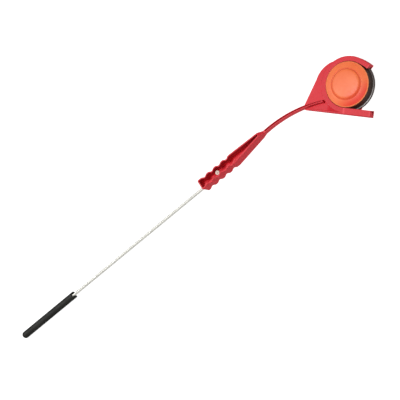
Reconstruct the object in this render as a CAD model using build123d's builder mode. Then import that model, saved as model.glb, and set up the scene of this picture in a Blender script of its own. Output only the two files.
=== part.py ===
"""Hand-held clay target thrower on an extension shaft, loaded with one target.

Millimetres, +Z up, lying on its back on Z = 0.  The origin is under the centre of the
target, on the back of the cradle.  +X runs along the shaft from the grip to the cradle
and +Y points to the side of the curved retaining finger.
"""
import os
from math import asin, cos, degrees, radians, sin

from build123d import *

# --- driving dimensions -------------------------------------------------------------
TARGET_R = 54.0            # standard 108 mm clay target
TARGET_BASE_Z = 3.4        # its rim floats just above the plate
TARGET_HEIGHT = 28.2
# its section as (radius, height): the dome and the underside from its top, the rim from its base
TARGET_DOME = ((0.0, 0.0), (18.0, -0.5), (28.6, -2.0), (30.9, -3.6), (31.9, -4.6), (32.9, -4.2),
               (43.6, -8.2), (46.4, -9.8), (47.3, -11.4))
TARGET_RIM = ((50.1, 5.2), (52.6, 5.2), (TARGET_R, 3.8), (TARGET_R, 1.6), (52.4, 0.0), (48.0, 0.0),
              (46.2, 5.0))
TARGET_UNDERSIDE = ((43.6, -12.4), (41.5, -12.0), (29.5, -7.6), (26.0, -5.4), (0.0, -3.6))

PLATE_T = 3.0              # back plate and lower lips
SEAT_R = 54.6              # inside of the groove that takes the target's rim
SEAT_OUTER_R = 58.0
GROOVE_TOP_Z = 9.2
LIP_R_LOW = 51.0           # overhanging lip, just above the groove
LIP_R_TOP = 48.5           # the same lip at its front face
LOWER_LIP_R = 46.0
WALL_TOP_Z = 20.0
EDGE_CHAMFER = 1.6

RAIL_ANGLE = -44.5         # direction in which the target leaves
RAIL_OUTER = 60.2          # outer face of the rail from the target's centre
RAIL_LENGTH = 58.5         # beyond the point where the rim touches it
FLANGE_T = 3.0
FLANGE_LENGTH = 82.0       # from the rail back to the neck
FLANGE_RISE = 24.0         # full height this far from the rail
FLANGE_LOW_HEIGHT = 9.0    # above the plate, at the neck

FINGER_ROOT_ANGLE = 86.0   # where the free finger leaves the seat wall
ROOT_CLEARANCE_ANGLE = 0.4
FLARE_ANGLE = 30.0         # from here to the tip the finger opens on a larger radius
FLARE_R = 110.0
FLARE_SWEEP = 15.3

PLATE_LEFT = ((-52.0, 57.2), (-35.0, 65.4), (-16.0, 67.4))    # long curve of the plate's left edge
PLATE_SHOULDER = ((-8.5, 66.6), (-2.0, 64.3))                 # and its turn towards the finger's root
PLATE_NECK_W = 9.2         # the plate's width where it meets the neck
PLATE_CORNER_S = 84.0      # its corner under the flange, back along the rail
PLATE_BULGE = (24.0, -6.0) # furthest point of its edge under the target
PLATE_RAIL_S = 30.0        # where that edge meets the rail's lower lip

ROD_R = 6.35 / 2
ROD_Y = 29.7
ROD_Z = 7.6
ROD_END_X = -318.0
ROD_TAIL_X = -905.0
ROD_CHAMFER = 0.5

HANDLE_END_X = -378.0
HANDLE_FRONT_X = -203.0
HANDLE_DEPTH = 28.0
HANDLE_WALL = 3.0
HANDLE_LOW_Y = 20.3        # the two long faces at the end, measured over the bumps
HANDLE_HIGH_Y = 43.4
TAPER_START_X = -288.0
TAPER_END_X = -213.0
TAPER_LOW_Y = 32.4
TAPER_HIGH_Y = 41.1
POCKET_END_X = -214.0
FRONT_SLOPE_X = -212.5
GROOVE_COUNT = 4
GROOVE_PITCH = 20.0
GROOVE_R = 6.0
GROOVE_DEPTH = 3.4
GROOVE_FIRST_X = -363.5    # on the low side
GROOVE_STAGGER = 4.0       # the high side's grooves sit this much further on
BUMP_R = 9.5               # rounding of the bumps between the grooves
END_CORNER_R = 3.5

NECK_CREST = (-190.0, 38.4)   # point of the neck's centre line where it runs along X
NECK_R = 284.0
NECK_T = 5.2
NECK_DEPTH = 15.0
NECK_SLOT_W = 2.2
NECK_SLOT_DEPTH = 6.0
NECK_SLOT_MARGIN = 0.9     # degrees of solid strip at each end of the slot
FLEX_ANGLE = 8.0           # place of the flex pivot along the neck
NECK_END_ANGLE = 17.2      # the plate starts here
RIB_END_ANGLE = 26.6
FLEX_CLEARANCE = 0.3

SCREW_X = -331.5
SCREW_R = 4.17 / 2
SCREW_HOLE_R = 2.3
SCREW_HEAD_R = 4.1
SCREW_HEAD_T = 2.3
SCREW_HEAD_ROUND = 1.2
SCREW_RECESS = (5.0, 1.0, 1.3)   # length, width and depth of the cross recess
SCREW_END_Z = 26.4
HEAD_POCKET_R = 4.6
HEAD_POCKET_DEPTH = 3.0
BOSS_R = 4.9
BOSS_END_X = -312.0
PILLAR_R = 5.3
PILLAR_TOP_Z = 20.6
PILLAR_FOOT_Z = 1.0        # bosses start inside the floor
WASHER_R = 9.53 / 2
WASHER_T = 1.2
NUT_ACROSS_FLATS = 8.73
NUT_T = 3.2
THREAD_CLEARANCE = 0.02

GRIP_R = 7.6
GRIP_END_X = -915.5
GRIP_MOUTH_X = -758.0
GRIP_SLOT_W = 7.0
GRIP_SLOT_LENGTH = 6.0
GRIP_NOSE_R = GRIP_R - 0.4
GRIP_LIP_R = 0.8
BORE_CLEARANCE = 0.05

os.makedirs("parts", exist_ok=True)


def write(name, builder):
    builder.part.label = name
    export_step(builder.part, f"parts/{name}.step")


def polar(radius, angle, centre=(0.0, 0.0)):
    """Point at a radius and an angle in degrees from +X about a centre."""
    return (centre[0] + radius * cos(radians(angle)), centre[1] + radius * sin(radians(angle)))


# --- frames shared by several pieces -------------------------------------------------
rail_dir = Vector(*polar(1.0, RAIL_ANGLE))
rail_out = Vector(*polar(1.0, RAIL_ANGLE - 90.0))
neck_centre = (NECK_CREST[0], NECK_CREST[1] - NECK_R)
neck_start_angle = -degrees(asin((NECK_CREST[0] - HANDLE_FRONT_X) / NECK_R))
wall_start = FINGER_ROOT_ANGLE + ROOT_CLEARANCE_ANGLE


def along_rail(distance, outwards):
    """Plan point at a distance along the rail and a distance out from the target's centre."""
    point = rail_dir * distance + rail_out * outwards
    return (point.X, point.Y)


def on_neck(angle, offset=0.0):
    """Plan point on the neck's arc; the angle is turned clockwise from +Y."""
    return polar(NECK_R + offset, 90.0 - angle, neck_centre)


def neck_outline(start, end, half_width):
    """Strip of the neck's plan between two angles along its arc."""
    middle = (start + end) / 2
    with BuildSketch() as strip:
        with BuildLine():
            for side in (half_width, -half_width):
                ThreePointArc(on_neck(start, side), on_neck(middle, side), on_neck(end, side))
            for angle in (start, end):
                Line(on_neck(angle, half_width), on_neck(angle, -half_width))
        make_face()
    return strip.sketch


def seat_profile(outer, lower_lip):
    """Section of the seat wall: a groove for the rim under an overhanging lip."""
    foot = PLATE_T
    points = [(outer, WALL_TOP_Z - EDGE_CHAMFER), (outer - EDGE_CHAMFER, WALL_TOP_Z),
              (LIP_R_TOP, WALL_TOP_Z), (LIP_R_LOW, GROOVE_TOP_Z), (SEAT_R, GROOVE_TOP_Z),
              (SEAT_R, foot)]
    if lower_lip:
        points += [(LOWER_LIP_R, foot), (LOWER_LIP_R, 0.0), (outer, 0.0)]
    else:
        points += [(outer, foot)]
    with BuildSketch() as profile:
        with BuildLine():
            Polyline(*points, close=True)
        make_face()
    return profile.sketch


def radial_plane(angle):
    """Plane whose X is radial and whose Y is up, so that profiles are (radius, height)."""
    return Plane(origin=(0, 0, 0), x_dir=(*polar(1.0, angle), 0), z_dir=(*polar(1.0, angle - 90), 0))


# --- cradle --------------------------------------------------------------------------
plate_neck_high = on_neck(NECK_END_ANGLE, PLATE_NECK_W / 2)
plate_neck_low = on_neck(NECK_END_ANGLE, -PLATE_NECK_W / 2)
root_outer = polar(SEAT_OUTER_R, wall_start)
root_inner = polar(LOWER_LIP_R, wall_start)
rail_meet = along_rail(PLATE_RAIL_S, LOWER_LIP_R)
plate_corner = along_rail(-PLATE_CORNER_S, RAIL_OUTER)

with BuildPart() as cradle_plate:
    with BuildSketch():
        with BuildLine():
            Line(plate_neck_low, plate_neck_high)
            Line(plate_neck_high, PLATE_LEFT[0])
            ThreePointArc(*PLATE_LEFT)
            ThreePointArc(PLATE_LEFT[-1], *PLATE_SHOULDER)
            Line(PLATE_SHOULDER[-1], root_outer)
            Line(root_outer, root_inner)
            ThreePointArc(root_inner, PLATE_BULGE, rail_meet)
            Line(rail_meet, along_rail(0.0, LOWER_LIP_R))
            Line(along_rail(0.0, LOWER_LIP_R), along_rail(0.0, RAIL_OUTER))
            Line(along_rail(0.0, RAIL_OUTER), plate_corner)
            Line(plate_corner, plate_neck_low)
        make_face()
    extrude(amount=PLATE_T)
write("cradle_plate", cradle_plate)

with BuildPart() as seat_wall:
    with BuildSketch(radial_plane(wall_start)):
        add(seat_profile(SEAT_OUTER_R, lower_lip=False))
    revolve(axis=Axis.Z, revolution_arc=360.0 + RAIL_ANGLE - 90.0 - wall_start)
write("seat_wall", seat_wall)

with BuildPart() as launch_rail:
    with BuildSketch(Plane(origin=(0, 0, 0), x_dir=rail_out, z_dir=-rail_dir)):
        add(seat_profile(RAIL_OUTER, lower_lip=True))
    extrude(amount=-RAIL_LENGTH)
write("launch_rail", launch_rail)

flange_plane = Plane(origin=(*along_rail(0.0, RAIL_OUTER), PLATE_T), x_dir=-rail_dir, z_dir=-rail_out)
flange_height = WALL_TOP_Z - PLATE_T

with BuildPart() as edge_flange:
    with BuildSketch(flange_plane):
        with BuildLine():
            Polyline((0, 0), (FLANGE_LENGTH, 0), (FLANGE_LENGTH, FLANGE_LOW_HEIGHT),
                     (FLANGE_RISE, flange_height), (0, flange_height), close=True)
        make_face()
    extrude(amount=FLANGE_T)
    with BuildSketch(Plane.XY.offset(PLATE_T)):
        Circle(SEAT_OUTER_R)
    extrude(amount=WALL_TOP_Z, mode=Mode.SUBTRACT)
write("edge_flange", edge_flange)

with BuildPart() as neck_rib:
    with BuildSketch(Plane.XY.offset(PLATE_T)):
        add(neck_outline(NECK_END_ANGLE, RIB_END_ANGLE, NECK_T / 2))
    extrude(amount=NECK_DEPTH - PLATE_T)
    # the neck's slot runs on along the rib
    with BuildSketch(Plane.XY.offset(NECK_DEPTH)):
        add(neck_outline(NECK_END_ANGLE, RIB_END_ANGLE - NECK_SLOT_MARGIN, NECK_SLOT_W / 2))
    extrude(amount=-NECK_SLOT_DEPTH, mode=Mode.SUBTRACT)
write("neck_rib", neck_rib)

# --- retaining finger ----------------------------------------------------------------
flare_centre = polar(SEAT_OUTER_R - FLARE_R, FLARE_ANGLE)

with BuildPart() as retaining_finger:
    with BuildSketch(radial_plane(FLARE_ANGLE)):
        add(seat_profile(SEAT_OUTER_R, lower_lip=True))
    revolve(axis=Axis.Z, revolution_arc=FINGER_ROOT_ANGLE - FLARE_ANGLE)
    with BuildSketch(radial_plane(FLARE_ANGLE)):
        add(seat_profile(SEAT_OUTER_R, lower_lip=True))
    revolve(axis=Axis((*flare_centre, 0), (0, 0, -1)), revolution_arc=FLARE_SWEEP)
write("retaining_finger", retaining_finger)

# --- flexible neck -------------------------------------------------------------------
flex_point = on_neck(FLEX_ANGLE)

with BuildPart() as neck_tip:
    with BuildSketch():
        add(neck_outline(FLEX_ANGLE, NECK_END_ANGLE, NECK_T / 2))
        with Locations(flex_point):
            Circle(NECK_T / 2)
    extrude(amount=NECK_DEPTH)
    with BuildSketch(Plane.XY.offset(NECK_DEPTH)):
        add(neck_outline(FLEX_ANGLE + NECK_SLOT_MARGIN, NECK_END_ANGLE, NECK_SLOT_W / 2))
    extrude(amount=-NECK_SLOT_DEPTH, mode=Mode.SUBTRACT)
write("neck_tip", neck_tip)

with BuildPart() as neck_root:
    with BuildSketch():
        add(neck_outline(neck_start_angle, FLEX_ANGLE, NECK_T / 2))
        with Locations(flex_point):
            Circle(NECK_T / 2 + FLEX_CLEARANCE, mode=Mode.SUBTRACT)
    extrude(amount=NECK_DEPTH)
    with BuildSketch(Plane.XY.offset(NECK_DEPTH)):
        add(neck_outline(neck_start_angle + NECK_SLOT_MARGIN, FLEX_ANGLE - NECK_SLOT_MARGIN, NECK_SLOT_W / 2))
    extrude(amount=-NECK_SLOT_DEPTH, mode=Mode.SUBTRACT)
write("neck_root", neck_root)

# --- handle --------------------------------------------------------------------------
neck_mouth = on_neck(neck_start_angle)


def handle_outline(inset):
    """Plan of the handle with its finger grooves, moved inwards by a wall thickness."""
    low, high = HANDLE_LOW_Y + inset, HANDLE_HIGH_Y - inset
    rear = HANDLE_END_X + inset
    reach = GROOVE_R - GROOVE_DEPTH
    with BuildSketch() as outline:
        with BuildLine():
            Polyline((rear, low), (TAPER_START_X, low), (TAPER_END_X, TAPER_LOW_Y + inset),
                     (TAPER_END_X, TAPER_HIGH_Y - inset), (TAPER_START_X, high),
                     (rear, high), close=True)
        make_face()
        for index in range(GROOVE_COUNT):
            low_x = GROOVE_FIRST_X + GROOVE_PITCH * index
            with Locations((low_x, HANDLE_LOW_Y - reach), (low_x + GROOVE_STAGGER, HANDLE_HIGH_Y + reach)):
                Circle(GROOVE_R + inset, mode=Mode.SUBTRACT)
        bumps = outline.vertices().filter_by(lambda v: rear + END_CORNER_R < v.X < TAPER_START_X + 1.0)
        fillet(bumps, BUMP_R - inset)
        fillet(outline.vertices().filter_by(lambda v: v.X < rear + 0.1), END_CORNER_R - inset)
    return outline.sketch


def across_shaft(x):
    """Plane at right angles to the shaft, centred on it, with X along +Y and Y upwards."""
    return Plane(origin=(x, ROD_Y, ROD_Z), x_dir=(0, 1, 0), z_dir=(1, 0, 0))


with BuildPart() as handle_shell:
    with BuildSketch():
        add(handle_outline(0.0))
        with BuildLine():
            Polyline((TAPER_END_X, TAPER_LOW_Y), (HANDLE_FRONT_X, neck_mouth[1] - NECK_T / 2),
                     (HANDLE_FRONT_X, neck_mouth[1] + NECK_T / 2), (TAPER_END_X, TAPER_HIGH_Y), close=True)
        make_face()
    extrude(amount=HANDLE_DEPTH)
    # the front block slopes down to the neck
    with BuildSketch(Plane.XZ):
        Polygon((FRONT_SLOPE_X, HANDLE_DEPTH), (HANDLE_FRONT_X, NECK_DEPTH),
                (HANDLE_FRONT_X, HANDLE_DEPTH), align=None)
    extrude(amount=-2 * HANDLE_HIGH_Y, mode=Mode.SUBTRACT)
    # pocket, open to the front
    with BuildSketch(Plane.XY.offset(HANDLE_WALL)):
        add(handle_outline(HANDLE_WALL))
        with Locations((POCKET_END_X, HANDLE_HIGH_Y)):
            Rectangle(HANDLE_DEPTH, 2 * HANDLE_HIGH_Y, align=(Align.MIN, Align.CENTER), mode=Mode.SUBTRACT)
    extrude(amount=HANDLE_DEPTH, mode=Mode.SUBTRACT)
    # socket for the shaft on the floor, and the pillar under the nut
    with BuildSketch(across_shaft(HANDLE_END_X + PILLAR_FOOT_Z)):
        Circle(BOSS_R)
        with Locations((0, (PILLAR_FOOT_Z - ROD_Z) / 2)):
            Rectangle(2 * BOSS_R, ROD_Z - PILLAR_FOOT_Z)
    extrude(amount=BOSS_END_X - HANDLE_END_X - PILLAR_FOOT_Z)
    with BuildSketch(Plane.XY.offset(PILLAR_FOOT_Z)):
        with Locations((SCREW_X, ROD_Y)):
            Circle(PILLAR_R)
    extrude(amount=PILLAR_TOP_Z - PILLAR_FOOT_Z)
    # shaft bore, screw hole and the pocket for the screw's head
    with BuildSketch(across_shaft(HANDLE_END_X)):
        Circle(ROD_R + BORE_CLEARANCE)
    extrude(amount=ROD_END_X - HANDLE_END_X + 1.0, mode=Mode.SUBTRACT)
    with BuildSketch():
        with Locations((SCREW_X, ROD_Y)):
            Circle(SCREW_HOLE_R)
    extrude(amount=HANDLE_DEPTH, mode=Mode.SUBTRACT)
    with BuildSketch():
        with Locations((SCREW_X, ROD_Y)):
            Circle(HEAD_POCKET_R)
    extrude(amount=HEAD_POCKET_DEPTH, mode=Mode.SUBTRACT)
write("handle_shell", handle_shell)

# --- shaft, its clamp and the grip ---------------------------------------------------
with BuildPart() as extension_rod:
    with BuildSketch(across_shaft(ROD_TAIL_X)):
        Circle(ROD_R)
    extrude(amount=ROD_END_X - ROD_TAIL_X)
    chamfer(extension_rod.edges().filter_by(GeomType.CIRCLE), ROD_CHAMFER)
    with BuildSketch():
        with Locations((SCREW_X, ROD_Y)):
            Circle(SCREW_HOLE_R - BORE_CLEARANCE)
    extrude(amount=HANDLE_DEPTH, mode=Mode.SUBTRACT)
write("extension_rod", extension_rod)

with BuildPart() as rubber_grip:
    with BuildSketch(across_shaft(GRIP_END_X)):
        Circle(GRIP_R)
    extrude(amount=GRIP_MOUTH_X - GRIP_END_X)
    ends = rubber_grip.edges().filter_by(GeomType.CIRCLE).sort_by(Axis.X)
    fillet(ends[0], GRIP_NOSE_R)
    fillet(rubber_grip.edges().filter_by(GeomType.CIRCLE).sort_by(Axis.X)[-1], GRIP_LIP_R)
    with BuildSketch(across_shaft(ROD_TAIL_X - ROD_CHAMFER)):
        Circle(ROD_R + BORE_CLEARANCE)
    extrude(amount=GRIP_MOUTH_X - ROD_TAIL_X + GRIP_LIP_R, mode=Mode.SUBTRACT)
    with BuildSketch():
        with Locations((GRIP_MOUTH_X, ROD_Y)):
            SlotCenterToCenter(2 * (GRIP_SLOT_LENGTH - GRIP_SLOT_W / 2), GRIP_SLOT_W)
    extrude(amount=3 * GRIP_R, mode=Mode.SUBTRACT)
write("rubber_grip", rubber_grip)

with BuildPart() as clamp_screw:
    head_foot = HEAD_POCKET_DEPTH - SCREW_HEAD_T
    with BuildSketch(Plane.XY.offset(head_foot)):
        with Locations((SCREW_X, ROD_Y)):
            Circle(SCREW_HEAD_R)
    extrude(amount=SCREW_HEAD_T)
    fillet(clamp_screw.edges().sort_by(Axis.Z)[0], SCREW_HEAD_ROUND)
    with BuildSketch(Plane.XY.offset(HEAD_POCKET_DEPTH)):
        with Locations((SCREW_X, ROD_Y)):
            Circle(SCREW_R)
    extrude(amount=SCREW_END_Z - HEAD_POCKET_DEPTH)
    chamfer(clamp_screw.edges().sort_by(Axis.Z)[-1], ROD_CHAMFER)
    recess_length, recess_width, recess_depth = SCREW_RECESS
    with BuildSketch(Plane.XY.offset(head_foot)):
        with Locations((SCREW_X, ROD_Y)):
            Rectangle(recess_length, recess_width)
            Rectangle(recess_width, recess_length)
    extrude(amount=recess_depth, mode=Mode.SUBTRACT)
write("clamp_screw", clamp_screw)

with BuildPart() as nut_washer:
    with BuildSketch(Plane.XY.offset(PILLAR_TOP_Z)):
        with Locations((SCREW_X, ROD_Y)):
            Circle(WASHER_R)
            Circle(SCREW_HOLE_R, mode=Mode.SUBTRACT)
    extrude(amount=WASHER_T)
write("nut_washer", nut_washer)

with BuildPart() as clamp_nut:
    with BuildSketch(Plane.XY.offset(PILLAR_TOP_Z + WASHER_T)):
        with Locations((SCREW_X, ROD_Y)):
            RegularPolygon(NUT_ACROSS_FLATS / 2, 6, major_radius=False)
            Circle(SCREW_R + THREAD_CLEARANCE, mode=Mode.SUBTRACT)
    extrude(amount=NUT_T)
write("clamp_nut", clamp_nut)

# --- clay target ---------------------------------------------------------------------
with BuildPart() as clay_target:
    target_top = TARGET_BASE_Z + TARGET_HEIGHT
    section = [(radius, target_top + drop) for radius, drop in TARGET_DOME]
    section += [(radius, TARGET_BASE_Z + rise) for radius, rise in TARGET_RIM]
    section += [(radius, target_top + drop) for radius, drop in TARGET_UNDERSIDE]
    with BuildSketch(Plane.XZ):
        with BuildLine():
            Polyline(*section, close=True)
        make_face()
    revolve(axis=Axis.Z)
write("clay_target", clay_target)
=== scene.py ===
"""Looks of the hand-held clay target thrower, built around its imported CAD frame.

Everything is in the part's own frame, in metres. Lengths are written as numbers of
millimetres times MM.
"""
from math import atan2, cos, degrees, hypot, pi, radians, sin, sqrt

import bmesh
import bpy
from mathutils import Matrix, Vector


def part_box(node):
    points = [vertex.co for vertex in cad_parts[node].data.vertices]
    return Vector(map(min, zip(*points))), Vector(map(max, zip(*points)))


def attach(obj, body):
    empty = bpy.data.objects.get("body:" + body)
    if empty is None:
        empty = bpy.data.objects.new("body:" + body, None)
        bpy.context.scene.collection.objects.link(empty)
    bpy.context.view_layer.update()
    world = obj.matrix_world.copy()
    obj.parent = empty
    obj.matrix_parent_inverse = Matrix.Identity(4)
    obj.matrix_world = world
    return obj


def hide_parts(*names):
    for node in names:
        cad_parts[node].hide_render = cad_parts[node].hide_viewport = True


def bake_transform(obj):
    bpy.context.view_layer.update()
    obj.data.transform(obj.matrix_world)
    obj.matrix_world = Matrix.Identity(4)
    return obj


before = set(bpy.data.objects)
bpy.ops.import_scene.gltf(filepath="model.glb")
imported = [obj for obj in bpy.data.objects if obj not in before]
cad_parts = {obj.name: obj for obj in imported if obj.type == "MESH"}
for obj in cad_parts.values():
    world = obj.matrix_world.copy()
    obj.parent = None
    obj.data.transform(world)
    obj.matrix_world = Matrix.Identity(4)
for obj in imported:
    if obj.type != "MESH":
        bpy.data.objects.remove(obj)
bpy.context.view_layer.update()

MM = 0.001
SHARP_ANGLE = 32.0              # edges sharper than this stay hard in the shading

# --- sizes taken from the frame --------------------------------------------------------
TARGET_LOW, TARGET_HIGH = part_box("clay_target")
SEAT_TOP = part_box("seat_wall")[1].z
PLATE_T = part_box("cradle_plate")[1].z
NECK_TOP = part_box("neck_root")[1].z
HANDLE_LOW, HANDLE_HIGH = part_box("handle_shell")
ROD_LOW, ROD_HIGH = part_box("extension_rod")
ROD_Y = (ROD_LOW.y + ROD_HIGH.y) / 2
ROD_Z = (ROD_LOW.z + ROD_HIGH.z) / 2
GRIP_LOW, GRIP_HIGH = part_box("rubber_grip")
NUT_LOW, NUT_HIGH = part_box("clamp_nut")
SCREW_X = (NUT_LOW.x + NUT_HIGH.x) / 2
WASHER_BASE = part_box("nut_washer")[0].z

# --- the cradle's own dimensions (plan angles are in degrees, from +X to +Y) -----------
SEAT_R = 54.6 * MM              # groove that takes the target's rim
SEAT_OUTER_R = 58.0 * MM
GROOVE_TOP = 9.2 * MM
LIP_R_LOW, LIP_R_TOP = 50.4 * MM, 47.4 * MM
LOWER_LIP_R = 46.0 * MM
SUNK_FOOT, SUNK_TOP = 1.2 * MM, 2.4 * MM    # feet that end inside the plate
END_INSET, END_ROUND = 0.9 * MM, 0.25 * MM  # the moulding's ends are rounded in two steps
RAIL_ANGLE = -44.5
RAIL_OUTER = 60.2 * MM
RAIL_LENGTH = 58.5 * MM
FLANGE_T = 3.0 * MM
FLANGE_LENGTH = 82.0 * MM
FLANGE_START_TOP = 12.0 * MM
FLANGE_LEVEL_FROM = -24.0 * MM  # from here on it is as high as the rail
RAMP_START, RAMP_LENGTH = -50.0 * MM, 44.0 * MM
FINGER_ROOT_ANGLE = 86.0
FLARE_ANGLE, FLARE_R, FLARE_SWEEP = 30.0, 110.0 * MM, 15.3
PLATE_LEFT = [Vector((-52.0, 57.2)) * MM, Vector((-35.0, 65.4)) * MM, Vector((-16.0, 67.4)) * MM]
PLATE_SHOULDER = [PLATE_LEFT[-1], Vector((-8.5, 66.6)) * MM, Vector((-2.0, 64.3)) * MM]
PLATE_FRONT = Vector((24.0, -6.0)) * MM     # a point of the round edge under the target
PLATE_START_HALF = 4.6 * MM                 # half its width where the neck comes in
PLATE_BEVEL = 0.5 * MM
PAINTED_SHADE_TURN = 88.0                           # painted shade: the paint is drawn darker to this side of the target

# --- the neck and the handle (neck angles are in degrees, clockwise from +Y) -----------
NO_DEPTH = 0.02 * MM            # depth of a slot or channel where a section has none
NECK_R = 284.0 * MM
NECK_CREST = Vector((-190.0 * MM, 38.4 * MM))
NECK_T = 5.2 * MM
NECK_SLOT_W, NECK_SLOT_DEPTH = 2.2 * MM, 6.0 * MM
NECK_START_ANGLE, NECK_END_ANGLE, RIB_END_ANGLE = -2.62, 17.2, 26.6
WALL = 3.0 * MM
# the handle is parallel from its rear to TAPER_START_X, then tapers to its front in two stages
TAPER_START_X, TAPER_END_X = -288.0 * MM, -213.0 * MM
HANDLE_LOW_Y, HANDLE_HIGH_Y = 20.3 * MM, 43.4 * MM
TAPER_LOW_Y, TAPER_HIGH_Y = 32.4 * MM, 41.1 * MM
FRONT_LOW_Y, FRONT_HIGH_Y = 35.5 * MM, 40.7 * MM
TOP_END_X = -212.5 * MM
GROOVES_END_X, CHANNEL_END_X = -285.0 * MM, -214.0 * MM
REAR_CORNER_R = 3.5 * MM
SOCKET_R, SOCKET_END_X = 4.9 * MM, -312.0 * MM
HEAD_POCKET_R, HEAD_POCKET_DEPTH = 4.6 * MM, 3.0 * MM
ROD_HOLE_R = 3.35 * MM
GROOVE_R, GROOVE_DEPTH, GROOVE_PITCH, GROOVE_COUNT = 6.0 * MM, 3.4 * MM, 20.0 * MM, 4
BUMP_R = 9.5 * MM
GROOVE_FIRST_X = -363.5 * MM
GROOVE_STAGGER = 4.0 * MM


# --- mesh helpers ----------------------------------------------------------------------
def plan(radius, angle, centre=(0.0, 0.0)):
    """Point of the plan at a radius and an angle in degrees about a centre."""
    return Vector((centre[0] + radius * cos(radians(angle)), centre[1] + radius * sin(radians(angle))))


def rounded(corners, steps=4):
    """Closed outline through (u, v, radius) corners, each one turned into an arc."""
    outline = []
    count = len(corners)
    for index, (u, v, radius) in enumerate(corners):
        corner = Vector((u, v))
        before = Vector(corners[index - 1][:2]) - corner
        after = Vector(corners[(index + 1) % count][:2]) - corner
        half = before.angle(after) / 2
        reach = min(radius / max(sin(half) / cos(half), 1e-6), 0.49 * before.length, 0.49 * after.length)
        start, end = corner + before.normalized() * reach, corner + after.normalized() * reach
        for step in range(steps + 1):
            t = step / steps
            outline.append(start * (1 - t) ** 2 + corner * 2 * t * (1 - t) + end * t ** 2)
    return outline


def new_mesh(name, points, faces):
    mesh = bpy.data.meshes.new(name)
    mesh.from_pydata([tuple(point) for point in points], [], faces)
    work = bmesh.new()
    work.from_mesh(mesh)
    bmesh.ops.remove_doubles(work, verts=work.verts, dist=1e-7)
    bmesh.ops.recalc_face_normals(work, faces=work.faces)
    work.to_mesh(mesh)
    work.free()
    piece = bpy.data.objects.new(name, mesh)
    bpy.context.scene.collection.objects.link(piece)
    return piece


def loft(name, sections):
    """Skin over sections with equal counts of points, with a cap at each end."""
    count = len(sections[0])
    points = [point for section in sections for point in section]
    faces = []
    for ring in range(len(sections) - 1):
        low, high = ring * count, (ring + 1) * count
        for index in range(count):
            after = (index + 1) % count
            faces.append((low + index, low + after, high + after, high + index))
    faces.append(tuple(reversed(range(count))))
    faces.append(tuple(range(len(points) - count, len(points))))
    return new_mesh(name, points, faces)


def revolve(name, profile, origin, steps, axis="Z"):
    """Turns (radius, height) points about an axis through origin; the profile starts and ends on it."""
    points, faces = [], []
    for step in range(steps):
        turn = 2 * pi * step / steps
        for radius, height in profile:
            u, v = radius * cos(turn), radius * sin(turn)
            place = Vector((u, v, height)) if axis == "Z" else Vector((height, u, v))
            points.append(Vector(origin) + place)
    count = len(profile)
    for step in range(steps):
        here, there = step * count, (step + 1) % steps * count
        for index in range(count - 1):
            faces.append((here + index, there + index, there + index + 1, here + index + 1))
    piece = new_mesh(name, points, faces)
    work = bmesh.new()
    work.from_mesh(piece.data)
    bmesh.ops.dissolve_degenerate(work, edges=work.edges, dist=1e-8)
    bmesh.ops.recalc_face_normals(work, faces=work.faces)
    work.to_mesh(piece.data)
    work.free()
    return piece


def prism(name, outline, low, high):
    """Upright solid over a closed outline."""
    return loft(name, [[(p[0], p[1], low) for p in outline], [(p[0], p[1], high) for p in outline]])


def settle(piece):
    """Applies the piece's modifiers to its mesh."""
    graph = bpy.context.evaluated_depsgraph_get()
    mesh = bpy.data.meshes.new_from_object(piece.evaluated_get(graph))
    piece.modifiers.clear()
    piece.data = mesh
    return piece


def bevelled(piece, width, segments, limit):
    """Rounds the edges that are sharper than the limit in degrees."""
    bevel = piece.modifiers.new("bevel", "BEVEL")
    bevel.width, bevel.segments, bevel.angle_limit = width, segments, radians(limit)
    bevel.limit_method = "ANGLE"
    return settle(piece)


def combine(piece, tool, operation):
    """Unites the piece with a tool mesh, or cuts the tool out of it, and removes the tool."""
    cut = piece.modifiers.new("cut", "BOOLEAN")
    cut.solver, cut.operation, cut.object = "EXACT", operation, tool
    settle(piece)
    bpy.data.objects.remove(tool)


def smooth(piece):
    """Shades the piece smooth, apart from its hard edges, with flat faces kept flat."""
    piece.data.shade_smooth()
    piece.data.set_sharp_from_angle(angle=radians(SHARP_ANGLE))
    even = piece.modifiers.new("even", "WEIGHTED_NORMAL")
    even.keep_sharp = True
    settle(piece)


def dress(piece, slot, *materials):
    """Gives the piece its materials and smooths it; the slot argument is not used."""
    piece.data.materials.clear()
    for material in materials:
        piece.data.materials.append(material)
    smooth(piece)


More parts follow.
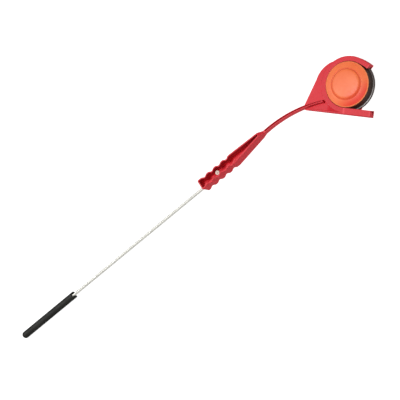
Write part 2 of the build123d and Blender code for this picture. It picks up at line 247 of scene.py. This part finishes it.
# --- materials -------------------------------------------------------------------------
class Surface:
    """A principled material with shorthand for the few nodes that it needs."""

    def __init__(self, name):
        self.material = bpy.data.materials.new(name)
        self.material.use_nodes = True
        self.tree = self.material.node_tree
        self.shader = self.tree.nodes["Principled BSDF"]
        self.place = self.tree.nodes.new("ShaderNodeTexCoord").outputs["Object"]

    def node(self, kind, **values):
        made = self.tree.nodes.new(kind)
        for key, value in values.items():
            made.inputs[key.replace("_", " ")].default_value = value
        return made

    def link(self, source, target):
        self.tree.links.new(source, target)

    def noise(self, scale, detail, roughness=0.55, stretch=(1.0, 1.0, 1.0)):
        mapping = self.node("ShaderNodeMapping", Scale=stretch)
        self.link(self.place, mapping.inputs["Vector"])
        made = self.node("ShaderNodeTexNoise", Scale=scale, Detail=detail, Roughness=roughness)
        self.link(mapping.outputs["Vector"], made.inputs["Vector"])
        return made.outputs["Fac"]

    def ramp(self, source, *stops):
        """Colour ramp through (place, colour) or (place, value) stops."""
        made = self.tree.nodes.new("ShaderNodeValToRGB")
        ramp = made.color_ramp
        while len(ramp.elements) < len(stops):
            ramp.elements.new(0.5)
        for element, (place, colour) in zip(ramp.elements, stops):
            element.position = place
            element.color = (*colour, 1.0) if hasattr(colour, "__len__") else (colour,) * 3 + (1.0,)
        self.link(source, made.inputs["Fac"])
        return made.outputs["Color"]

    def blend(self, amount, first, second):
        """Colour between two colours or colour sockets."""
        made = self.tree.nodes.new("ShaderNodeMix")
        made.data_type = "RGBA"
        self.link(amount, made.inputs["Factor"])
        for value, target in ((first, made.inputs[6]), (second, made.inputs[7])):
            if hasattr(value, "is_linked"):
                self.link(value, target)
            else:
                target.default_value = (*value, 1.0)
        return made.outputs[2]

    def bump(self, source, strength, distance, onto=None):
        """Bump from a height, laid onto another bump where one is given."""
        made = self.node("ShaderNodeBump", Strength=strength, Distance=distance)
        self.link(source, made.inputs["Height"])
        if onto is not None:
            self.link(onto, made.inputs["Normal"])
        return made.outputs["Normal"]

    def edges(self):
        """Convex-edge mask, for worn edges and a painted highlight: 1 on convex edges, 0 on flats."""
        geometry = self.tree.nodes.new("ShaderNodeNewGeometry")
        return self.ramp(geometry.outputs["Pointiness"], (0.53, 0.0), (0.62, 1.0))


def red_plastic():
    """Moulded red plastic: slightly uneven colour, edges lighter as wear and painted highlight, soft gloss,
    moulded skin.
    """
    made = Surface("red_plastic")
    drift = made.noise(14.0, 3.0)
    body = made.ramp(drift, (0.35, (0.60, 0.024, 0.036)), (0.65, (0.67, 0.030, 0.044)))
    specks = made.ramp(made.noise(900.0, 6.0), (0.42, 0.0), (0.62, 1.0))
    body = made.blend(specks, body, (0.635, 0.027, 0.040))
    # edges drawn lighter and pinker: wear, with a painted highlight along them
    wear_and_highlight = made.blend(made.edges(), body, (0.80, 0.075, 0.090))
    made.link(wear_and_highlight, made.shader.inputs["Base Color"])
    made.link(made.ramp(made.noise(120.0, 5.0), (0.3, 0.34), (0.7, 0.46)), made.shader.inputs["Roughness"])
    made.shader.inputs["Specular IOR Level"].default_value = 0.2
    skin = made.bump(made.noise(2600.0, 2.0), 0.18, 0.00006)
    made.link(made.bump(made.noise(60.0, 3.0), 0.25, 0.0002, skin), made.shader.inputs["Normal"])
    return made.material


def target_paint():
    """Sprayed orange with a random tone, painted shade on one side and in the ring groove, and a painted
    highlight at the edge.
    """
    made = Surface("target_paint")
    paint_tone_and_shade = made.ramp(made.noise(40.0, 4.0), (0.35, (0.86, 0.160, 0.046)), (0.65, (0.90, 0.185, 0.056)))
    apart = made.node("ShaderNodeSeparateXYZ")
    turned = made.node("ShaderNodeMapping", Rotation=(0.0, 0.0, radians(PAINTED_SHADE_TURN)))
    made.link(made.place, turned.inputs["Vector"])
    made.link(turned.outputs["Vector"], apart.inputs["Vector"])
    # painted shade: the dome is drawn darker red towards one side, standing in for shading from a light on
    # the other side
    shade_side = made.node("ShaderNodeMapRange", From_Min=16.0 * MM, From_Max=38.0 * MM)
    made.link(apart.outputs["X"], shade_side.inputs["Value"])
    paint_tone_and_shade = made.blend(shade_side.outputs["Result"], paint_tone_and_shade, (0.78, 0.038, 0.011))
    flat = made.node("ShaderNodeMapping", Scale=(1.0, 1.0, 0.0))
    made.link(made.place, flat.inputs["Vector"])
    radius = made.node("ShaderNodeVectorMath")
    radius.operation = "LENGTH"
    made.link(flat.outputs["Vector"], radius.inputs[0])
    across = made.node("ShaderNodeMapRange", From_Min=28.0 * MM, From_Max=36.0 * MM)
    made.link(radius.outputs["Value"], across.inputs["Value"])
    # painted shade: the ring groove is drawn darker
    groove = made.ramp(across.outputs["Result"], (0.12, 0.0), (0.38, 0.7), (0.50, 0.6), (0.66, 0.0))
    paint_tone_and_shade = made.blend(groove, paint_tone_and_shade, (0.62, 0.075, 0.030))
    # painted highlight: a brighter orange ring is drawn along the dome's painted edge
    rim = made.node("ShaderNodeMapRange", From_Min=44.4 * MM, From_Max=45.4 * MM)
    made.link(radius.outputs["Value"], rim.inputs["Value"])
    made.link(made.blend(rim.outputs["Result"], paint_tone_and_shade, (0.98, 0.26, 0.09)), made.shader.inputs["Base Color"])
    made.link(made.ramp(made.noise(300.0, 5.0), (0.3, 0.42), (0.7, 0.55)), made.shader.inputs["Roughness"])
    made.shader.inputs["Specular IOR Level"].default_value = 0.45
    made.link(made.bump(made.noise(1400.0, 4.0), 0.3, 0.00012), made.shader.inputs["Normal"])
    return made.material


def target_pitch():
    """Pressed pitch and limestone: near black, with brown overspray near the painted dome and a painted
    highlight on its edges.
    """
    made = Surface("target_pitch")
    dust = made.ramp(made.noise(220.0, 6.0, 0.7), (0.45, 0.0), (0.75, 1.0))
    body = made.blend(dust, (0.028, 0.016, 0.012), (0.075, 0.040, 0.030))
    apart = made.node("ShaderNodeSeparateXYZ")
    made.link(made.place, apart.inputs["Vector"])
    height = made.node("ShaderNodeMapRange", From_Min=10.0 * MM, From_Max=21.0 * MM)
    made.link(apart.outputs["Z"], height.inputs["Value"])
    spray = made.ramp(height.outputs["Result"], (0.30, 0.0), (0.75, 0.45), (1.0, 1.0))
    body = made.blend(spray, body, (0.105, 0.032, 0.018))
    # painted highlight: convex edges drawn lighter grey
    made.link(made.blend(made.edges(), body, (0.20, 0.14, 0.12)), made.shader.inputs["Base Color"])
    made.link(made.ramp(made.noise(500.0, 4.0), (0.3, 0.26), (0.7, 0.45)), made.shader.inputs["Roughness"])
    made.link(made.bump(made.noise(1800.0, 5.0), 0.35, 0.00012), made.shader.inputs["Normal"])
    return made.material


def plated_steel(name, bright, dull, stretch, metallic):
    """Bright plated steel with fine drawing lines along the stretch."""
    made = Surface(name)
    lines = made.noise(1500.0, 3.0, 0.6, stretch)
    cloud = made.noise(30.0, 3.0)
    made.link(made.blend(cloud, bright, dull), made.shader.inputs["Base Color"])
    made.link(made.ramp(lines, (0.3, 0.20), (0.7, 0.34)), made.shader.inputs["Roughness"])
    made.link(made.bump(lines, 0.10, 0.00003), made.shader.inputs["Normal"])
    made.shader.inputs["Metallic"].default_value = metallic
    return made.material


def grip_rubber():
    """Matt black dipped rubber with a fine grain and slightly greyer rubbed patches."""
    made = Surface("grip_rubber")
    rubbed = made.ramp(made.noise(35.0, 5.0), (0.4, (0.009, 0.009, 0.007)), (0.7, (0.016, 0.016, 0.013)))
    made.link(rubbed, made.shader.inputs["Base Color"])
    made.link(made.ramp(made.noise(150.0, 4.0), (0.3, 0.55), (0.7, 0.75)), made.shader.inputs["Roughness"])
    made.shader.inputs["Specular IOR Level"].default_value = 0.3
    grain = made.bump(made.noise(1600.0, 3.0), 0.45, 0.00015)
    made.link(made.bump(made.noise(90.0, 2.0), 0.3, 0.0003, grain), made.shader.inputs["Normal"])
    return made.material


def pale_floor():
    made = Surface("pale_floor")
    made.link(made.ramp(made.noise(1.5, 3.0), (0.3, 0.32), (0.7, 0.34)), made.shader.inputs["Base Color"])
    made.shader.inputs["Roughness"].default_value = 0.9
    made.shader.inputs["Specular IOR Level"].default_value = 0.1
    made.shader.inputs["Emission Color"].default_value = (1.0, 1.0, 1.0, 1.0)
    made.shader.inputs["Emission Strength"].default_value = 0.95
    return made.material


# --- cradle ----------------------------------------------------------------------------
rail_dir = plan(1.0, RAIL_ANGLE)
rail_out = plan(1.0, RAIL_ANGLE - 90.0)
neck_centre = NECK_CREST - Vector((0.0, NECK_R))


def along_rail(distance, outwards):
    return rail_dir * distance + rail_out * outwards


def on_neck(angle, offset=0.0):
    """Point of the neck's centre arc, at an angle turned clockwise from +Y."""
    return plan(NECK_R + offset, 90.0 - angle, neck_centre)


def eased(share):
    """Share from 0 to 1 with a level start and end."""
    return share * share * (3 - 2 * share)


def guide_profile(outer, on_plate):
    """(radius, height) section of the wall that holds the target: a groove under an overhanging lip.

    On the plate its foot is sunk in the plate; past the plate it has a lower lip of its own.
    """
    if on_plate:
        lip, foot_top, foot = SEAT_R - 0.1 * MM, SUNK_TOP, SUNK_FOOT
    else:
        lip, foot_top, foot = LOWER_LIP_R, PLATE_T, 0.0
    return rounded([
        (outer, foot, 0.7 * MM), (outer, SEAT_TOP, 1.8 * MM), (LIP_R_TOP, SEAT_TOP, 0.5 * MM),
        (LIP_R_LOW, GROOVE_TOP, 0.5 * MM), (SEAT_R, GROOVE_TOP, 0.8 * MM), (SEAT_R, foot_top, 0.8 * MM),
        (lip, foot_top, 0.6 * MM), (lip, foot, 0.6 * MM)])


def shrunk(section, amount):
    """The same section with its points moved towards its middle, for a rounded end."""
    middle = sum(section, Vector((0.0, 0.0))) / len(section)
    return [point + (middle - point).normalized() * min(amount, (middle - point).length) for point in section]


def guide_wall():
    """Rail, seat wall and retaining finger in one sweep along the target's edge."""
    sections = []

    def add_section(profile, place):
        sections.append([(*place(radius), height) for radius, height in profile])

    rail = guide_profile(RAIL_OUTER, on_plate=False)
    for inset, back in ((END_INSET, 0.0), (END_ROUND, END_ROUND), (0.0, END_INSET)):
        add_section(shrunk(rail, inset), lambda r, b=back: along_rail(RAIL_LENGTH - b, r))
    straight = RAIL_LENGTH - END_INSET
    # the last sections stand close together, for even shading up to the step to the next profile
    for distance in [straight * (11 - step) / 12 for step in range(11)] + [0.3 * MM, 0.0]:
        add_section(rail, lambda r, d=distance: along_rail(d, r))
    gap = 0.02      # degrees between two sections where the profile changes in one step
    start = 360.0 + RAIL_ANGLE - 90.0 - gap
    steps = 64
    root = FINGER_ROOT_ANGLE - 0.25
    for step in [0, 0.1, *range(1, steps + 1)]:
        angle = start - (start - root) * step / steps
        narrowed = min(step / 3, 1.0)
        wall = guide_profile(RAIL_OUTER + (SEAT_OUTER_R - RAIL_OUTER) * narrowed, on_plate=True)
        add_section(wall, lambda r, a=angle: plan(r, a))
    finger = guide_profile(SEAT_OUTER_R, on_plate=False)
    steps = 36
    for step in range(steps + 1):
        angle = root - gap - (root - gap - FLARE_ANGLE) * step / steps
        add_section(finger, lambda r, a=angle: plan(r, a))
    # the finger's tip follows a flatter arc, with its centre further back
    centre = plan(SEAT_OUTER_R - FLARE_R, FLARE_ANGLE)
    shift = FLARE_R - SEAT_OUTER_R
    steps = 14
    end = FLARE_ANGLE - FLARE_SWEEP
    round_end = degrees(END_INSET / FLARE_R)
    for step in range(steps):
        angle = FLARE_ANGLE - (FLARE_SWEEP - round_end) * (step + 1) / steps
        add_section(finger, lambda r, a=angle: plan(r + shift, a, centre))
    for inset, back in ((END_ROUND, 0.28 * round_end), (END_INSET, 0.0)):
        add_section(shrunk(finger, inset), lambda r, b=back: plan(r + shift, end + b, centre))
    return loft("cradle_moulding", sections)


def plate():
    """Back plate: it widens from the neck and ends in a round edge under the target."""
    start, end = on_neck(NECK_END_ANGLE, PLATE_START_HALF), on_neck(NECK_END_ANGLE, -PLATE_START_HALF)
    inside, outside = LOWER_LIP_R + 1.0 * MM, SEAT_OUTER_R - 1.0 * MM
    root_in, root_out = LOWER_LIP_R - 1.2 * MM, SEAT_OUTER_R - 0.01 * MM
    tongue_angle = FINGER_ROOT_ANGLE - 0.8
    outline = [start, *arc_through(*PLATE_LEFT, 18), *arc_through(*PLATE_SHOULDER, 8)[1:]]
    # short tongue into the finger's foot; its first and last corner belong to the neighbouring curves
    steps = 4
    tongue = rounded([(*PLATE_SHOULDER[-1], 0.0), (*plan(root_out, FINGER_ROOT_ANGLE + 0.9), 1.0 * MM),
                      (*plan(outside, tongue_angle), 0.3 * MM), (*plan(inside, tongue_angle), 0.3 * MM),
                      (*plan(root_in, FINGER_ROOT_ANGLE + 0.6), 0.0)], steps)
    outline += tongue[steps + 1:-steps - 1]
    # round edge under the target, from the finger's root to the rail
    first, last = plan(root_in, FINGER_ROOT_ANGLE + 0.6), along_rail(30.0 * MM, inside)
    outline += arc_through(first, PLATE_FRONT, last, 28)
    outline += [along_rail(PLATE_BEVEL, inside), along_rail(PLATE_BEVEL, RAIL_OUTER - 1.0 * MM),
                along_rail(-0.2 * MM, RAIL_OUTER), along_rail(-FLANGE_LENGTH - 2.0 * MM, RAIL_OUTER), end]
    return bevelled(prism("plate", outline, 0.0, PLATE_T), PLATE_BEVEL, 2, 50.0)


def arc_through(first, middle, last, steps):
    """Points of the arc from first through middle to last."""
    a, b = middle - first, last - first
    cross = a.x * b.y - a.y * b.x
    centre = first + Vector((b.y * a.length_squared - a.y * b.length_squared,
                             a.x * b.length_squared - b.x * a.length_squared)) / (2 * cross)
    start = atan2(first.y - centre.y, first.x - centre.x)
    sweep = atan2(last.y - centre.y, last.x - centre.x) - start
    direct = atan2(middle.y - centre.y, middle.x - centre.x) - start
    sweep, direct = sweep % (2 * pi), direct % (2 * pi)
    if direct > sweep:
        sweep -= 2 * pi
    radius = (first - centre).length
    return [centre + Vector((cos(start + sweep * i / steps), sin(start + sweep * i / steps))) * radius
            for i in range(steps + 1)]


def edge_wall():
    """Wall along the plate's edge from the neck to the rail, with a ramp up to the seat wall behind it."""
    outer = RAIL_OUTER - 0.05 * MM
    inner = RAIL_OUTER - FLANGE_T
    low = FLANGE_START_TOP
    sunk = 1.3 * MM
    sections = []
    for distance in [-FLANGE_LENGTH + 2.0 * MM * step for step in range(41)] + [-0.5 * MM, 1.5 * MM]:
        rise = min((distance + FLANGE_LENGTH) / (FLANGE_LENGTH + FLANGE_LEVEL_FROM), 1.0)
        top = low + (SEAT_TOP - 0.1 * MM - low) * (0.5 * rise + 0.5 * eased(rise))
        climb = min(max((distance - RAMP_START) / RAMP_LENGTH, 0.0), 1.0)
        ramp = PLATE_T - 0.6 * MM + (SEAT_TOP - 0.7 * MM - PLATE_T) * eased(climb)
        foot = inner - 1.5 * MM
        if distance > RAMP_START - 2.0 * MM:
            foot = min(foot, sqrt(SEAT_OUTER_R ** 2 - min(distance, 0.0) ** 2) - 1.5 * MM)
        corners = rounded([(outer, sunk, 0.3 * MM), (outer, top, 1.4 * MM), (inner, top, 0.7 * MM),
                           (inner, ramp, 0.8 * MM), (foot, ramp, 0.2 * MM), (foot, sunk, 0.2 * MM)])
        sections.append([(*along_rail(distance, out), height) for out, height in corners])
    return loft("edge_wall", sections)


def cradle_moulding(material):
    """Plate, walls, rail and finger in one piece."""
    moulding = guide_wall()
    combine(moulding, plate(), "UNION")
    combine(moulding, edge_wall(), "UNION")
    dress(moulding, "red_plastic", material)
    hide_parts("cradle_plate", "edge_flange", "seat_wall", "launch_rail", "retaining_finger")
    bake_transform(moulding)


# --- neck ------------------------------------------------------------------------------
def flexible_neck(material):
    """Thin slotted strip that bends in the throw, and the rib that it ends in on the plate."""
    def section(angle, slotted, foot=0.0, top=NECK_TOP):
        half, slot = NECK_T / 2, NECK_SLOT_W / 2
        floor = top - (NECK_SLOT_DEPTH if slotted else NO_DEPTH)
        side = [(half, foot, 0.6 * MM), (half, top, 0.7 * MM), (slot, top, 0.3 * MM), (slot, floor, 0.5 * MM)]
        corners = rounded(side + [(-u, v, radius) for u, v, radius in reversed(side)], 3)
        return [(*on_neck(angle, across), height) for across, height in corners]

    sections = [section(NECK_START_ANGLE - 0.6, False, top=NECK_TOP - 0.3 * MM),
                section(NECK_START_ANGLE + 0.6, False)]
    slot_start, slot_end = NECK_START_ANGLE + 0.9, RIB_END_ANGLE - 0.9
    steps = 52
    for step in range(steps + 1):
        sections.append(section(slot_start + (NECK_END_ANGLE - 0.05 - slot_start) * step / steps, True))
    steps = 20
    for step in range(steps + 1):
        sections.append(section(NECK_END_ANGLE + (slot_end - NECK_END_ANGLE) * step / steps, True, SUNK_FOOT))
    sections += [section(slot_end + 0.3, False, SUNK_FOOT), section(RIB_END_ANGLE - 0.2, False, SUNK_FOOT),
                 section(RIB_END_ANGLE, False, SUNK_FOOT, NECK_TOP - 0.8 * MM)]
    neck = loft("flexible_neck", sections)
    dress(neck, "red_plastic", material)
    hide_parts("neck_root", "neck_tip", "neck_rib")
    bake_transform(neck)


# --- handle ----------------------------------------------------------------------------
def between(x, stops):
    """Straight-line value at x between (x, value) stops."""
    for (x0, v0), (x1, v1) in zip(stops, stops[1:]):
        if x <= x1:
            return v0 + (v1 - v0) * max(0.0, (x - x0) / (x1 - x0))
    return stops[-1][1]


def scallop(x, first):
    """Depth of the finger grooves at x: round grooves that run into round bumps."""
    nearest = min(max(round((x - first) / GROOVE_PITCH), 0), GROOVE_COUNT - 1)
    away = abs(x - first - nearest * GROOVE_PITCH)
    centre = GROOVE_R - GROOVE_DEPTH
    reach = sqrt((GROOVE_R + BUMP_R) ** 2 - (centre + BUMP_R) ** 2)
    if away < reach * GROOVE_R / (GROOVE_R + BUMP_R):
        return sqrt(GROOVE_R ** 2 - away ** 2) - centre
    if away < reach:
        return BUMP_R - sqrt(BUMP_R ** 2 - (reach - away) ** 2)
    return 0.0


def handle_sides(x):
    """The two long faces of the handle at x, as (low y, high y)."""
    low = between(x, [(HANDLE_LOW.x, HANDLE_LOW_Y), (TAPER_START_X, HANDLE_LOW_Y),
                      (TAPER_END_X, TAPER_LOW_Y), (HANDLE_HIGH.x, FRONT_LOW_Y)])
    high = between(x, [(HANDLE_LOW.x, HANDLE_HIGH_Y), (TAPER_START_X, HANDLE_HIGH_Y),
                       (TAPER_END_X, TAPER_HIGH_Y), (HANDLE_HIGH.x, FRONT_HIGH_Y)])
    low += scallop(x, GROOVE_FIRST_X)
    high -= scallop(x, GROOVE_FIRST_X + GROOVE_STAGGER)
    to_corner = REAR_CORNER_R - (x - HANDLE_LOW.x)
    if to_corner > 0.0:
        pull = REAR_CORNER_R - sqrt(REAR_CORNER_R ** 2 - to_corner ** 2)
        low, high = low + pull, high - pull
    return low, high


def handle_section(x, open_top, end_inset=0.0):
    """U-shaped section: outer faces, rounded rims and, with an open top, a channel with a rounded floor."""
    low, high = handle_sides(x)
    low, high = low + end_inset, high - end_inset
    top = between(x, [(HANDLE_LOW.x, HANDLE_HIGH.z), (TOP_END_X, HANDLE_HIGH.z),
                      (HANDLE_HIGH.x, NECK_TOP)]) - end_inset
    foot = end_inset
    inner_low, inner_high = low + WALL, high - WALL
    if open_top:
        floor, draft = WALL, 0.4 * MM
        floor_radius = min(5.0 * MM, 0.45 * (inner_high - inner_low))
    else:
        floor, draft, floor_radius = top - NO_DEPTH, 0.0, 0.01 * MM
    return [(x, across, height) for across, height in rounded([
        (low, foot, 1.0 * MM), (low, top, 1.8 * MM), (inner_low, top, 0.6 * MM),
        (inner_low + draft, floor, floor_radius), (inner_high - draft, floor, floor_radius),
        (inner_high, top, 0.6 * MM), (high, top, 1.8 * MM), (high, foot, 1.0 * MM)], 5)]


def handle_moulding(material):
    """Channel-shaped handle with the shaft's socket and the nut's pillar on its floor."""
    rear = HANDLE_LOW.x
    sections = [handle_section(rear + 0.01 * MM, False, 0.8 * MM),
                handle_section(rear + 0.25 * MM, False, 0.25 * MM)]

    def add_sections(start, end, steps, open_top, skip=0):
        for step in range(skip, steps + 1):
            sections.append(handle_section(start + (end - start) * step / steps, open_top))

    add_sections(rear, rear + WALL - 0.1 * MM, 6, False, skip=1)
    add_sections(rear + WALL, GROOVES_END_X, 150, True)
    add_sections(GROOVES_END_X, CHANNEL_END_X, 40, True, skip=1)
    add_sections(CHANNEL_END_X + 0.3 * MM, HANDLE_HIGH.x, 14, False)
    moulding = loft("handle_moulding", sections)
    combine(moulding, rod_socket(), "UNION")
    combine(moulding, nut_pillar(), "UNION")
    past, hole_depth, mouth_r = 1.0 * MM, 9.0 * MM, 4.4 * MM
    hole = revolve("hole", [(0.0, -past), (mouth_r, -past), (ROD_HOLE_R, past), (ROD_HOLE_R, hole_depth),
                            (0.0, hole_depth)], (rear, ROD_Y, ROD_Z), 40, axis="X")
    combine(moulding, hole, "DIFFERENCE")
    pocket = revolve("pocket", [(0.0, -past), (HEAD_POCKET_R, -past), (HEAD_POCKET_R, HEAD_POCKET_DEPTH),
                                (0.0, HEAD_POCKET_DEPTH)], (SCREW_X, ROD_Y, 0.0), 40)
    combine(moulding, pocket, "DIFFERENCE")
    dress(moulding, "red_plastic", material)
    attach(moulding, "handle")
    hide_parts("handle_shell")


def rod_socket():
    """Long boss on the channel's floor that the shaft runs into."""
    foot = 1.0 * MM
    sections = []
    for x, inset in ((HANDLE_LOW.x + 1.0 * MM, 0.0), (SOCKET_END_X - 2.0 * MM, 0.0),
                     (SOCKET_END_X - 0.6 * MM, 0.5 * MM), (SOCKET_END_X, 1.6 * MM)):
        r = SOCKET_R - inset
        arch = [(x, ROD_Y + r * cos(radians(a)), ROD_Z + r * sin(radians(a))) for a in range(0, 181, 10)]
        sections.append([(x, ROD_Y + r, foot), *arch, (x, ROD_Y - r, foot)])
    return loft("rod_socket", sections)


def nut_pillar():
    """Slightly tapered round pillar under the nut's washer."""
    top = WASHER_BASE
    return revolve("nut_pillar", [(0.0, 1.0 * MM), (5.6 * MM, 1.0 * MM), (5.3 * MM, top - 0.5 * MM),
                                  (4.8 * MM, top), (0.0, top)], (SCREW_X, ROD_Y, 0.0), 48)


# --- grip, target ----------------------------------------------------------------------
def rubber_sleeve(material):
    """Dipped rubber grip: round closed end and a cleft mouth around the shaft."""
    radius = (GRIP_HIGH.z - GRIP_LOW.z) / 2
    length = GRIP_HIGH.x - GRIP_LOW.x
    profile = [(radius * sin(radians(a)), radius * (1 - cos(radians(a)))) for a in range(0, 91, 9)]
    profile += [(radius, length * share) for share in (0.2, 0.4, 0.6, 0.8, 0.93)]
    rod_r, bore_depth = ROD_HIGH.z - ROD_Z, 12.0 * MM
    profile += [(radius, length - 1.2 * MM), (radius - 0.25 * MM, length - 0.4 * MM),
                (radius - 0.8 * MM, length), (rod_r + 0.4 * MM, length),
                (rod_r + 0.1 * MM, length - 0.8 * MM), (rod_r + 0.1 * MM, length - bore_depth),
                (0.0, length - bore_depth)]
    sleeve = revolve("grip_sleeve", profile, (GRIP_LOW.x, ROD_Y, ROD_Z), 64, axis="X")
    half, depth, past = 3.5 * MM, 6.0 * MM, 2.0 * MM
    centre = (GRIP_HIGH.x - depth + half, ROD_Y)
    outline = [(GRIP_HIGH.x + past, ROD_Y - half)]
    outline += [tuple(plan(half, angle, centre)) for angle in range(270, 89, -12)]
    outline += [(GRIP_HIGH.x + past, ROD_Y + half)]
    combine(sleeve, prism("cleft", outline, -past, GRIP_HIGH.z + past), "DIFFERENCE")
    dress(sleeve, "grip_rubber", material)
    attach(sleeve, "handle")
    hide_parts("rubber_grip")


def target_disc(paint, pitch):
    """Clay target: stepped rim of bare pitch and a painted dome with a ring groove."""
    low, high = TARGET_LOW.z, TARGET_HIGH.z
    # (radius, height) in mm: the dome and the underside are measured from the top, the rim from the base
    dome = [(0.0, 0.0), (9.0, -0.1), (18.0, -0.5), (25.0, -1.3), (28.0, -2.0), (29.3, -3.0), (30.4, -4.4),
            (31.4, -5.0), (32.2, -4.8), (33.2, -4.1), (36.0, -4.9), (40.0, -6.5), (43.6, -8.1), (44.9, -8.7),
            (45.6, -9.3)]
    profile = [(radius * MM, high + drop * MM) for radius, drop in dome]
    first_bare = len(profile)
    rim = [(46.5, 18.0), (47.2, 15.8), (48.2, 11.6), (49.0, 10.4), (49.3, 8.4), (50.1, 7.3), (50.6, 5.9),
           (51.0, 5.3), (52.6, 5.2), (53.5, 4.7), (53.95, 3.8), (54.0, 2.8), (53.9, 1.6), (53.3, 0.6),
           (52.4, 0.0), (48.4, 0.0), (47.9, 0.5), (46.4, 5.0)]
    profile += [(radius * MM, low + rise * MM) for radius, rise in rim]
    under = [(43.6, -12.6), (41.5, -12.0), (29.5, -7.6), (26.0, -5.4), (0.0, -3.6)]
    profile += [(radius * MM, high + drop * MM) for radius, drop in under]
    disc = revolve("target_disc", profile, (0.0, 0.0, 0.0), 128)
    dress(disc, "target_clay", paint, pitch)
    edge_r, edge_z = profile[first_bare]
    for face in disc.data.polygons:
        below = face.center.z < edge_z - 0.2 * MM or hypot(face.center.x, face.center.y) > edge_r
        inside = face.normal.z < 0.0
        face.material_index = 1 if below or inside else 0
    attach(disc, "target")
    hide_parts("clay_target")


# --- stage -----------------------------------------------------------------------------
CAMERA_AZIMUTH, CAMERA_ELEVATION, CAMERA_ROLL = 43.28, 61.98, -79.2
CAMERA_DISTANCE, CAMERA_LENS = 3.957, 171.3
CAMERA_AIM = Vector((-0.4014, 0.0133, 0.0096))
LIGHT_AIM, LIGHT_DISTANCE = Vector((-0.3, 0.0, 0.0)), 2.8
WORLD_STRENGTH = 0.24
FLOOR_HALF = 6.0


def camera():
    """Long lens, looking steeply down on the thrower from its front, on the rail's side."""
    azimuth, elevation = radians(CAMERA_AZIMUTH), radians(CAMERA_ELEVATION)
    back = Vector((sin(azimuth) * cos(elevation), -cos(azimuth) * cos(elevation), sin(elevation)))
    level = (-back).to_track_quat("-Z", "Y").to_matrix().to_4x4()
    turn = level @ Matrix.Rotation(radians(CAMERA_ROLL), 4, "Z")
    data = bpy.data.cameras.new("camera")
    data.sensor_width, data.lens = 36.0, CAMERA_LENS
    data.clip_end = 50.0
    view = bpy.data.objects.new("camera", data)
    view.matrix_world = Matrix.Translation(CAMERA_AIM + back * CAMERA_DISTANCE) @ turn
    bpy.context.scene.collection.objects.link(view)
    bpy.context.scene.camera = view


def area_light(name, direction, size, power):
    """Round light in a direction from the point that both lights aim at."""
    place = LIGHT_AIM + Vector(direction) * LIGHT_DISTANCE
    data = bpy.data.lights.new(name, "AREA")
    data.shape, data.size, data.energy = "DISK", size, power
    light = bpy.data.objects.new(name, data)
    light.location = place
    light.rotation_mode = "QUATERNION"
    light.rotation_quaternion = (LIGHT_AIM - place).to_track_quat("-Z", "Y")
    bpy.context.scene.collection.objects.link(light)
    return light


def studio():
    """Pale glowing floor, a small overhead key, and a sheen that only shows as a reflection."""
    half = FLOOR_HALF
    floor = new_mesh("floor", [(-half, -half, 0), (half, -half, 0), (half, half, 0), (-half, half, 0)],
                     [(0, 1, 2, 3)])
    floor.location.z = -0.6 * MM
    floor.data.materials.append(pale_floor())
    floor.visible_glossy = False
    world = bpy.data.worlds.new("studio")
    world.use_nodes = True
    background = world.node_tree.nodes["Background"]
    background.inputs["Color"].default_value = (1.0, 1.0, 1.0, 1.0)
    background.inputs["Strength"].default_value = WORLD_STRENGTH
    bpy.context.scene.world = world
    bpy.context.scene.view_settings.view_transform = "Standard"
    area_light("key", (0.0, -0.02, 1.0), 0.7, 66.0)
    sheen = area_light("sheen", (-0.50, 0.40, 0.77), 1.2, 34.0)
    sheen.visible_diffuse = False


def main():
    red = red_plastic()
    cradle_moulding(red)
    flexible_neck(red)
    handle_moulding(red)
    rubber_sleeve(grip_rubber())
    target_disc(target_paint(), target_pitch())
    rod_steel = plated_steel("plated_rod", (0.70, 0.69, 0.64), (0.62, 0.61, 0.56), (0.02, 1.0, 1.0), 0.15)
    zinc = plated_steel("zinc_hardware", (0.50, 0.37, 0.31), (0.39, 0.28, 0.24), (1.0, 1.0, 0.1), 0.2)
    metal_parts = [("extension_rod", rod_steel, "plated_rod")]
    metal_parts += [(node, zinc, "zinc_hardware") for node in ("clamp_screw", "nut_washer", "clamp_nut")]
    for node, material, slot in metal_parts:
        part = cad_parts[node]
        part.data.materials.clear()
        part.data.materials.append(material)
    camera()
    studio()


main()
